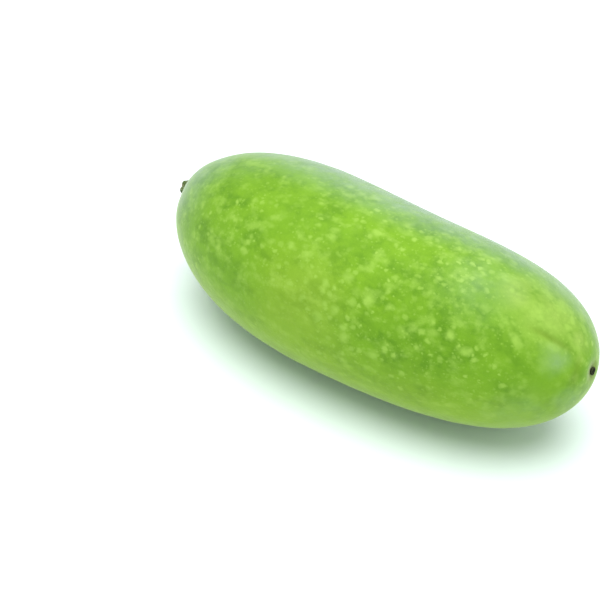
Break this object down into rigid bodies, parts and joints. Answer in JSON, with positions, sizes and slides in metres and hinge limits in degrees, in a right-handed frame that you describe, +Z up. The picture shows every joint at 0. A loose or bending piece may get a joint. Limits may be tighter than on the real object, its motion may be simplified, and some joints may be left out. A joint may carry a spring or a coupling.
{
  "type": "wax gourd",
  "caption": "Whole wax gourd lying on its side: a long, full, slightly curved green fruit with its cut stem and its blossom scar.",
  "frame": {"origin": "on the surface that the gourd lies on, under the middle of the box around the fruit and its stem", "axes": "+X along the fruit from the stem end to the blossom end, +Y to the side that both ends curve towards, +Z up"},
  "size_m": [0.32, 0.12, 0.1174],
  "materials": {
    "waxy_skin": "satin",
    "green_stem": "matte",
    "corky_scar": "matte"
  },
  "bodies": {
    "root": {"fruit": "waxy_skin", "stem": "green_stem", "blossom_scar": "corky_scar"}
  },
  "joints": []
}
